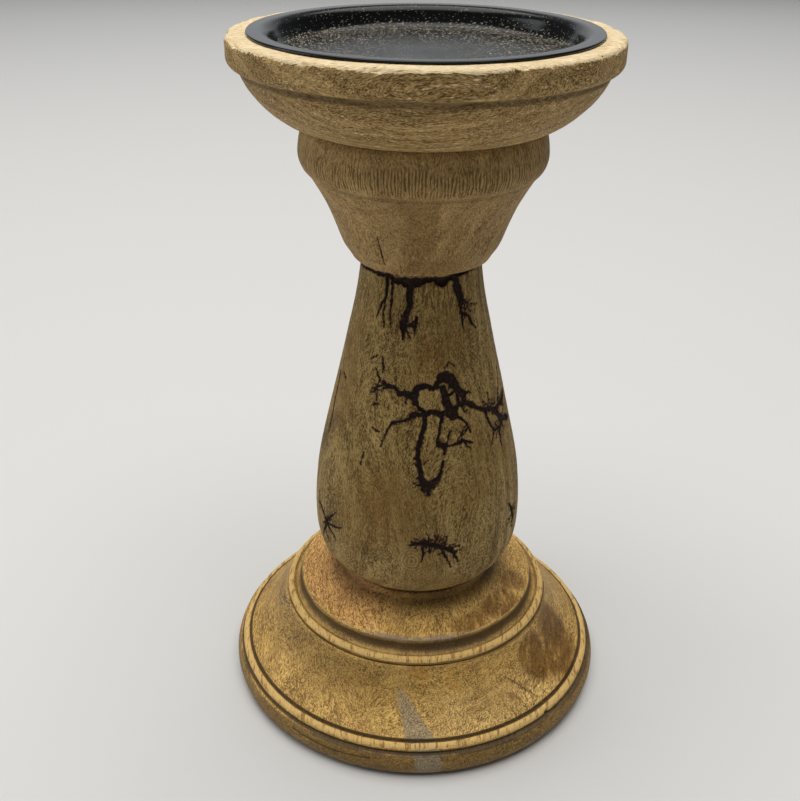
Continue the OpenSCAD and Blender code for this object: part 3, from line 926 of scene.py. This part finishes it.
def burn_distance(turning, bits):
    """For each point, how far it is outside the nearest burn in mm, below 0 inside one."""
    angle = turning.angle
    height = turning.z / MM
    radius = np.maximum(turning.r / MM, 1)
    nearest = np.full(len(angle), BURN_REACH)
    order = np.argsort(height, kind="stable")
    sorted_height = height[order]
    for (a0, h0, w0), (a1, h1, w1) in bits:
        low, high = min(h0, h1) - BURN_REACH, max(h0, h1) + BURN_REACH
        near = order[np.searchsorted(sorted_height, low) : np.searchsorted(sorted_height, high)]
        away = (angle[near] - a0 + 180) % 360 - 180
        near = near[np.abs(away - (a1 - a0) / 2) < 14 + abs(a1 - a0)]
        r = radius[near]
        away = (angle[near] - a0 + 180) % 360 - 180
        px = np.radians(away) * r
        py = height[near] - h0
        vx = math.radians(a1 - a0) * r
        vy = h1 - h0
        t, off = beside(px, py, vx, vy)
        nearest[near] = np.minimum(nearest[near], off - (w0 + (w1 - w0) * t))
    return nearest


# ---- Operators, one for each piece or group ----


def sizes():
    return bpy.context.scene.candle_sizes


def turned(node, segments, shows, calm_at=None):
    """The Turning of a CAD node. shows(point) is true where the surface shows, which gets finer rings."""
    outline, closed = section(node)
    fine, coarse = sizes().ring_step, sizes().hidden_step
    line = fair(outline, closed, lambda p: fine if shows(p) else coarse, calm_at)
    return Turning(line, closed, segments)


def spot(turning, angle, height, wide, tall):
    """1 in the middle of an oval on the surface and 0 from its edge outwards. All but the angle are in mm."""
    up = turning.z / MM - height
    return ease(1, 0.35, np.hypot(turning.across(angle) / (wide / 2), up / (tall / 2)))


def scratch(turning, start, end, width):
    """1 along a straight thin line between two (angle, height) places and 0 from width mm away."""
    (a0, h0), (a1, h1) = start, end
    r = turning.r / MM
    px = np.radians(turning.angle - a0) * r
    py = turning.z / MM - h0
    vx = math.radians(a1 - a0) * r
    vy = h1 - h0
    return ease(width, width * 0.3, beside(px, py, vx, vy)[1])


# The pan's well ends at its shoulder. Both radii are in metres.
WELL_R = 0.05
SHOULDER_R = 0.0545
# Single specks of dust in the well
GRIT_COUNT = 5200
GRIT_SEED = 5


class CANDLE_OT_drip_pan(bpy.types.Operator):
    """Build the black drip pan that lies in the cup"""

    bl_idname = "candle.drip_pan"
    bl_label = "Drip Pan"

    def execute(self, context):
        pan = turned("drip_pan", 440, lambda p: True, lambda line: ease(0.055, 0.053, line[:, 0]))
        waver = lumps(pan.places, (0.03, 0.03, 0.01), 3)
        pan.carve(np.maximum(waver, 0) * 0.12 * MM)
        up = pan.out[pan.ring][:, 1]
        patchy = 0.55 + 0.45 * lumps(pan.places, 0.012, 4)
        in_well = ease(SHOULDER_R, WELL_R, pan.r) * ease(PAN_LOW.z + 0.3 * MM, PAN_LOW.z + 0.8 * MM, pan.z)
        lying = ease(0.2, 0.9, up)
        cover = np.clip(patchy + 0.4, 0.5, 1)
        pan.marks["settled"] = in_well * lying * cover
        pan.marks["dusty"] = in_well * (0.2 + 0.8 * lying) * cover
        chance = np.random.default_rng(GRIT_SEED)
        low = ease(PAN_LOW.z + 8 * MM, PAN_LOW.z + 2 * MM, pan.z)
        thick = in_well * low * (0.2 + 0.8 * lying) * pan.r * np.clip(patchy + 0.5, 0.1, 1)
        grains = chance.choice(len(thick), GRIT_COUNT, replace=False, p=thick / thick.sum())
        grit = np.zeros(len(thick))
        grit[grains] = chance.uniform(0.45, 0.6, GRIT_COUNT) + 0.4 * lying[grains]
        pan.marks["grit"] = grit
        piece = pan.build("enamelled_drip_pan")
        finish_piece(piece, enamel_finish(), "pan", "drip_pan")
        return {"FINISHED"}


class CANDLE_OT_cup(bpy.types.Operator):
    """Turn the wooden cup with its worn rim"""

    bl_idname = "candle.cup"
    bl_label = "Cup"

    def execute(self, context):
        rim = CUP_HIGH.z
        cup = turned("cup", 512, lambda p: p[0] > 0.035)
        places = cup.places
        bend = cup.roundness(2.5 * MM)
        outer = ease(0.058, 0.062, cup.r)
        top_edge = ease(0.4, 1.2, bend) * ease(rim - 3.5 * MM, rim - 1 * MM, cup.z) * outer
        chips = ease(0.0, 0.75, lumps(places, 0.006, 1)) + 0.7 * ease(0.1, 0.8, lumps(places, 0.0025, 2))
        scrape = np.abs(lumps(places, (0.02, 0.02, 0.004), 4)) * 0.16 * MM
        outside = ease(0.054, 0.056, cup.r) + ease(rim - 11 * MM, rim - 12 * MM, cup.z)
        cup.carve(scrape * np.clip(outside, 0, 1) + top_edge * chips * 0.7 * MM)
        # Band along the top of the rim: real wear there, and painted light on the upward face
        frayed = 0.6 * lumps(places, 0.009, 5) + 0.5 * lumps(places, (0.003, 0.003, 0.002), 6)
        low_edge = rim - (1.0 + 0.7 * frayed) * MM
        cup.marks["worn"] = ease(low_edge - 0.5 * MM, low_edge + 0.5 * MM, cup.z) * ease(0.052, 0.054, cup.r)
        # Painted shade in the hollow under the band's step
        step_z = rim - 9.4 * MM
        under = ease(2.6 * MM, 0.5 * MM, np.abs(cup.z - step_z + 0.7 * MM)) * ease(0.054, 0.057, cup.r)
        cup.marks["hollow"] = np.clip(under * ease(rim - 8.4 * MM, rim - 9.2 * MM, cup.z), 0, 1)
        piece = cup.build("turned_cup")
        finish_piece(piece, cup_finish(), "stand", "cup")
        return {"FINISHED"}


class CANDLE_OT_collar(bpy.types.Operator):
    """Turn the collar with its rounded ring"""

    bl_idname = "candle.collar"
    bl_label = "Collar"

    def execute(self, context):
        collar = turned("collar", 440, lambda p: p[0] > 0.02)
        places = collar.places
        line = CUP_LOW.z - 16 * MM
        height = collar.z / MM
        angle = collar.angle
        ragged = lumps(places, 0.006, 2)
        # Darker along the thin line under the ring
        near_line = ease(1.3 * MM, 0.3 * MM, np.abs(collar.z - line))
        collar.marks["hollow"] = near_line * (0.55 + 0.45 * lumps(places, 0.014, 3))
        ring_low = line / MM + 1.5 + 0.8 * ragged
        ring_high = line / MM + 11 + 1.5 * ragged
        above_line = ease(ring_low, ring_low + 1.5, height)
        collar.marks["ring"] = above_line * ease(ring_high, ring_high - 2.5, height)
        left_edge = -11 + 4 * ragged
        patch = ease(left_edge - 3, left_edge + 5, angle) * ease(9.5, 8, angle + ragged)
        patch *= ease(187, 191, height) * ease(211, 209, height)
        skirt = spot(collar, 8, 184, 34, 12 + 5 * ragged)
        collar.marks["patch"] = np.clip(np.maximum(patch * (0.75 + 0.25 * ragged), skirt), 0, 1)
        crack = scratch(collar, (-27, 184), (-28, 195), 0.55)
        collar.marks["crack"] = crack
        collar.carve(np.abs(lumps(places, (0.012, 0.012, 0.006), 6)) * 0.14 * MM + crack * 0.4 * MM)
        piece = collar.build("turned_collar")
        finish_piece(piece, collar_finish(), "stand", "collar")
        return {"FINISHED"}


# Nearer the axis than this, in metres, the stem is inside its joints
JOINT_R = 0.018


class CANDLE_OT_stem(bpy.types.Operator):
    """Turn the stem and burn the branching figures into it"""

    bl_idname = "candle.stem"
    bl_label = "Stem"

    def execute(self, context):
        foot = BASE_HIGH.z
        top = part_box("collar")[0].z
        stem = turned("stem", 600, lambda p: foot < p[1] < top and p[0] > JOINT_R)
        line_r, line_z = stem.line.T
        outline = stem.line[(line_r > JOINT_R) & (line_z > foot) & (line_z < top)]
        outline = outline[np.argsort(outline[:, 1])]
        gap = burn_distance(stem, burn_lines(sizes().burn_seed, outline))
        side = (stem.r > JOINT_R) & (stem.z > foot - 0.2 * MM) & (stem.z < top + 0.2 * MM)
        gap = np.where(side, gap, BURN_REACH)
        stem.marks["burn"] = gap
        knot = np.zeros(len(gap))
        from_knot = np.full(len(gap), 20.0)
        for angle, height, across in KNOTS:
            away = np.hypot(stem.across(angle), (stem.z / MM - height) * 0.9)
            knot = np.maximum(knot, np.exp(-((away / (0.7 * across)) ** 2)))
            from_knot = np.minimum(from_knot, away)
        stem.marks["knot"] = knot * side
        stem.marks["from_knot"] = from_knot
        stem.marks["pale"] = ease(95, 72, stem.z / MM) * side
        near_top = ease(160, 170, stem.z / MM) * ease(181, 177, stem.z / MM)
        front_streaks = ease(-4, 4, stem.angle) * ease(34, 24, stem.angle)
        streaked = np.where(np.abs(stem.angle) < 60, 0.35 + 0.65 * front_streaks, 0.5)
        stem.marks["brushed"] = side * near_top * streaked
        stem.marks["blotch"] = np.maximum.reduce([spot(stem, *where) for where in BLOTCHES]) * side
        # Painted shade: darker towards the stem's foot, where it meets the base
        stem.marks["hollow"] = ease(foot + 3.5 * MM, foot, stem.z) * 0.6
        scrape = np.abs(lumps(stem.places, (0.009, 0.009, 0.03), 8)) * 0.16 * MM
        stem.carve(scrape * side + ease(0.25, -0.8, gap) * sizes().burn_depth)
        piece = stem.build("burnt_stem")
        finish_piece(piece, stem_finish(), "stand", "stem")
        return {"FINISHED"}


# Middles of the base's two beads and the plateau's edge, as (radius, height) in mm
OUTER_BEAD = (71.4, 11.4)
INNER_BEAD = (51.5, 35.7)
PLATEAU_EDGE = (47.5, 41.3)
BEAD_THICK = 3.8
# Foot of the inner bead's outer side, as a radius in mm
INNER_FOOT_R = 53.7
# Left and right edges of the grey stripe, across the front, at these radii. All in mm.
STRIPE_R = (55, 58, 64, 70, 73, 76)
STRIPE_LEFT = (-8, -7, -4.5, -2.5, -0.5, 1)
STRIPE_RIGHT = (-5.5, -3, 3, 8.5, 10, 11)


class CANDLE_OT_base(bpy.types.Operator):
    """Turn the moulded base"""

    bl_idname = "candle.base"
    bl_label = "Base"

    def execute(self, context):
        base = turned("base", 640, lambda p: p[0] > 0.027 and p[1] > 1.6 * MM)
        places = base.places
        r = base.r / MM
        height = base.z / MM
        angle = base.angle
        x = places[:, 0] / MM
        front = np.abs(angle) < 90
        shown = ease(26, 29, r) * ease(1.5, 2, height)
        bend = base.roundness(2.2 * MM)
        patchy = lumps(places, 0.02, 11)
        ragged = lumps(places, 0.004, 12)
        # Painted highlight: the part of each bead that faces the light
        bead = np.zeros(len(r))
        for middle_r, middle_z in (OUTER_BEAD, INNER_BEAD):
            off_bead = np.abs(np.hypot(r - middle_r, height - middle_z) - BEAD_THICK / 2)
            facing = np.degrees(np.arctan2(height - middle_z, r - middle_r)) + 6 * ragged
            lit = ease(8, 26, facing) * ease(118, 98, facing)
            bead = np.maximum(bead, ease(0.35, 0.1, off_bead) * lit)
        base.marks["crest"] = bead
        edge_r, edge_z = PLATEAU_EDGE
        # Painted shade in grooves, on the plateau's wall, under the outer bead and round the seat, partly
        # real stain
        by_height = (36.6, 37.2, 38.2, 40.4, 40.9, 41.6, 42.3)
        wall_dark = np.interp(height + 0.25 * ragged, by_height, (0.3, 0.5, 0.95, 1.0, 0.55, 0.6, 0.1))
        wall_dark *= ease(edge_r - 1.4, edge_r - 0.7, r) * ease(51.2, 50.7, r) * ease(36.4, 36.8, height)
        wall_dark *= 0.85 + 0.3 * patchy
        grooves = ease(0.1, 0.5, -bend) * ease(54, 56, r)
        bead_line = ease(0.9, 0.4, np.abs(r - INNER_FOOT_R))
        bead_line *= ease(34, 34.6, height) * ease(36.4, 35.8, height)
        bead_line *= np.where(front, 0.25 + 0.3 * ease(0, 40, angle), 0.3)
        under_bead = ease(0.9, 0.3, np.abs(height - OUTER_BEAD[1] + 1.4)) * ease(72, 73, r)
        under_bead *= np.clip(0.3 + 0.5 * ease(-50, 0, angle) + 0.4 * patchy + 0.3 * ragged, 0, 1)
        seat = ease(38, 30, r) * ease(42, 44, height) * (0.35 + 0.2 * patchy)
        off_inner = np.abs(np.hypot(r - INNER_BEAD[0], height - INNER_BEAD[1]) - BEAD_THICK / 2)
        bead_sides = ease(0.35, 0.1, off_inner) * 0.45
        dark = np.maximum.reduce([grooves, wall_dark, bead_line, under_bead, seat, bead_sides])
        base.marks["hollow"] = dark * shown * (1 - bead)
        # Painted sheen on the front of the plateau's rounded edge
        on_edge = ease(edge_r - 2, edge_r - 1.2, r) * ease(edge_r + 0.5, edge_r + 0.1, r)
        on_edge *= ease(edge_z - 0.1, edge_z + 0.5, height)
        base.marks["sheen"] = on_edge * ease(-34, -10, angle) * ease(36, 12, angle)
        # Painted shade: the side wall, the flare under the inner bead on the left, the back, and the plateau
        # in the stem's shadow
        side = ease(10.2, 9.2, height) * ease(70, 72, r)
        under_inner = ease(66, 56, r) * ease(34.8, 33, height) * (0.15 + 0.4 * ease(10, -30, angle))
        far = ease(50, 110, np.abs(angle)) * ease(52, 56, r) * 0.35
        by_stem = ease(43, 31, r) * ease(42, 43, height) * (0.55 + 0.3 * patchy)
        base.marks["shade"] = np.maximum.reduce([side * 0.8, under_inner, far, by_stem])
        left = np.interp(r, STRIPE_R, STRIPE_LEFT)
        right = np.interp(r, STRIPE_R, STRIPE_RIGHT)
        stripe = ease(left - 1.5, left + 1.5, x) * ease(right + 0.8, right - 0.5, x) * front
        base.marks["stripe"] = stripe * ease(54, 62, r) * ease(INNER_BEAD[1] - 1.5, INNER_BEAD[1] - 3, height)
        base.marks["amber"] = np.maximum.reduce([
            spot(base, 2, 32.5, 12, 11) * 0.8,
            spot(base, 17, 30, 18, 15) * 0.6,
            spot(base, 10, 20, 4, 12) * 0.6,
        ])
        base.marks["stain"] = np.maximum.reduce([
            spot(base, 54, 25, 24, 22),
            spot(base, 72, 24, 32, 28),
            spot(base, 63, 18, 26, 18) * 0.9,
            spot(base, 30, 43.2, 26, 2.6) * 0.6,
            spot(base, 52, 43.4, 30, 3.4) * 0.8,
            spot(base, 74, 43.6, 20, 3.4) * 0.6,
            spot(base, -150, 24, 44, 22) * 0.45,
            spot(base, 150, 22, 50, 24) * 0.4,
        ])
        base.marks["rosy"] = ease(0, -35, angle) * ease(-140, -100, angle) * ease(47, 46, r)
        base.marks["pale"] = ease(-4, 14, angle) * ease(70, 45, angle) * ease(56, 61, r) * ease(9, 12, height)
        cracks = np.maximum.reduce([
            scratch(base, (37, 25), (46, 15), 0.45),
            scratch(base, (-38, 8), (-24, 7), 0.5),
            scratch(base, (-24, 7), (-12, 8), 0.45),
            scratch(base, (-30, 33), (-26, 31), 0.4) * 0.8,
            scratch(base, (-24, 33), (-20, 32), 0.4) * 0.8,
        ])
        base.marks["crack"] = cracks
        chip = spot(base, 45, OUTER_BEAD[1] - 0.3, 3.2, 3.4)
        nicks = ease(0.45, 0.9, lumps(places, 0.004, 9)) * bead
        scrape = np.abs(lumps(places, (0.02, 0.02, 0.006), 7)) * 0.12 * MM
        base.carve((scrape + nicks * 0.35 * MM + cracks * 0.25 * MM + chip * 0.7 * MM) * shown)
        piece = base.build("turned_base")
        finish_piece(piece, base_finish(), "stand", "base")
        return {"FINISHED"}


class CANDLE_OT_fittings(bpy.types.Operator):
    """Finish the screws, the washer and the four pads"""

    bl_idname = "candle.fittings"
    bl_label = "Screws and Pads"

    def execute(self, context):
        steel, rubber = steel_finish(), rubber_finish()
        for name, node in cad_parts.items():
            if "screw" in name or "washer" in name:
                finish = steel
            elif "pad" in name:
                finish = rubber
            else:
                continue
            for slot in node.material_slots:
                slot.material = finish
        return {"FINISHED"}


# ---- Stage ----

CAMERA_BACK = 352.6 * MM
CAMERA_UP = 310.3 * MM
CAMERA_TILT = math.radians(28.37)
CAMERA_TURN = math.radians(1.17)
CAMERA_ROLL = math.radians(0.5)
CAMERA_LENS = 46.9


def add_light(name, place, aim, size, power, colour):
    light = bpy.data.lights.new(name, "AREA")
    light.shape = "RECTANGLE"
    light.size, light.size_y = size
    light.energy = power
    light.color = colour
    lamp = bpy.data.objects.new(name, light)
    lamp.location = place
    lamp.rotation_euler = (Vector(aim) - Vector(place)).to_track_quat("-Z", "Y").to_euler()
    bpy.context.scene.collection.objects.link(lamp)


class CANDLE_OT_stage(bpy.types.Operator):
    """Add the floor, the soft lights and the camera"""

    bl_idname = "candle.stage"
    bl_label = "Floor, Lights and Camera"

    def execute(self, context):
        scene = context.scene
        floor = bpy.data.meshes.new("studio_floor")
        reach = 6.0
        corners = [(-reach, -reach, 0), (reach, -reach, 0), (reach, reach, 0), (-reach, reach, 0)]
        floor.from_pydata(corners, [], [(0, 1, 2, 3)])
        paint = Paint("studio_floor", Base_Color=(0.66, 0.655, 0.64, 1), Roughness=0.6)
        floor.materials.append(paint.material)
        ground = bpy.data.objects.new("studio_floor", floor)
        scene.collection.objects.link(ground)
        middle = (0, 0, PAN_HIGH.z / 2)
        add_light("ceiling_panel", (0.0, 0.15, 2.1), middle, (2.4, 2.4), 60, (1.0, 0.985, 0.96))
        add_light("side_window", (-1.9, 0.0, 0.8), middle, (1.2, 0.9), 7.5, (0.96, 0.98, 1.0))
        add_light("back_window", (0.0, 2.0, 0.75), middle, (2.4, 0.8), 3, (0.93, 0.97, 1.0))
        world = bpy.data.worlds.new("studio_air")
        world.use_nodes = True
        air = world.node_tree.nodes["Background"]
        air.inputs["Color"].default_value = (0.9, 0.93, 1.0, 1)
        air.inputs["Strength"].default_value = 0.12
        scene.world = world
        scene.view_settings.view_transform = "Standard"
        lens = bpy.data.cameras.new("camera")
        lens.lens = CAMERA_LENS
        lens.sensor_width = 36
        lens.clip_start = 0.01
        lens.clip_end = 50
        camera = bpy.data.objects.new("camera", lens)
        camera.location = (0, -CAMERA_BACK, CAMERA_UP)
        turn = Matrix.Rotation(CAMERA_TURN, 3, "Z")
        tilt = Matrix.Rotation(math.radians(90) - CAMERA_TILT, 3, "X")
        roll = Matrix.Rotation(CAMERA_ROLL, 3, "Z")
        camera.rotation_euler = (turn @ tilt @ roll).to_euler()
        scene.collection.objects.link(camera)
        scene.camera = camera
        return {"FINISHED"}


# ---- Panel and registration ----

MAKERS = (
    CANDLE_OT_drip_pan,
    CANDLE_OT_cup,
    CANDLE_OT_collar,
    CANDLE_OT_stem,
    CANDLE_OT_base,
    CANDLE_OT_fittings,
    CANDLE_OT_stage,
)


class CANDLE_PT_panel(bpy.types.Panel):
    """Lists the candle holder's pieces and settings"""

    bl_idname = "CANDLE_PT_panel"
    bl_label = "Candle Holder"
    bl_space_type = "VIEW_3D"
    bl_region_type = "UI"
    bl_category = "Candle Holder"

    def draw(self, context):
        layout = self.layout
        for group in (context.scene.candle_sizes, context.scene.candle_woods):
            box = layout.box()
            for name in group.bl_rna.properties.keys():
                if name not in ("rna_type", "name"):
                    box.prop(group, name)
        for maker in MAKERS:
            layout.operator(maker.bl_idname)


CLASSES = (CANDLE_PG_woods, CANDLE_PG_sizes, *MAKERS, CANDLE_PT_panel)


def register():
    for cls in CLASSES:
        bpy.utils.register_class(cls)
    bpy.types.Scene.candle_woods = PointerProperty(type=CANDLE_PG_woods)
    bpy.types.Scene.candle_sizes = PointerProperty(type=CANDLE_PG_sizes)


def unregister():
    del bpy.types.Scene.candle_sizes
    del bpy.types.Scene.candle_woods
    for cls in reversed(CLASSES):
        bpy.utils.unregister_class(cls)


def main():
    register()
    bpy.ops.candle.drip_pan()
    bpy.ops.candle.cup()
    bpy.ops.candle.collar()
    bpy.ops.candle.stem()
    bpy.ops.candle.base()
    bpy.ops.candle.fittings()
    bpy.ops.candle.stage()


if __name__ == "__main__":
    main()
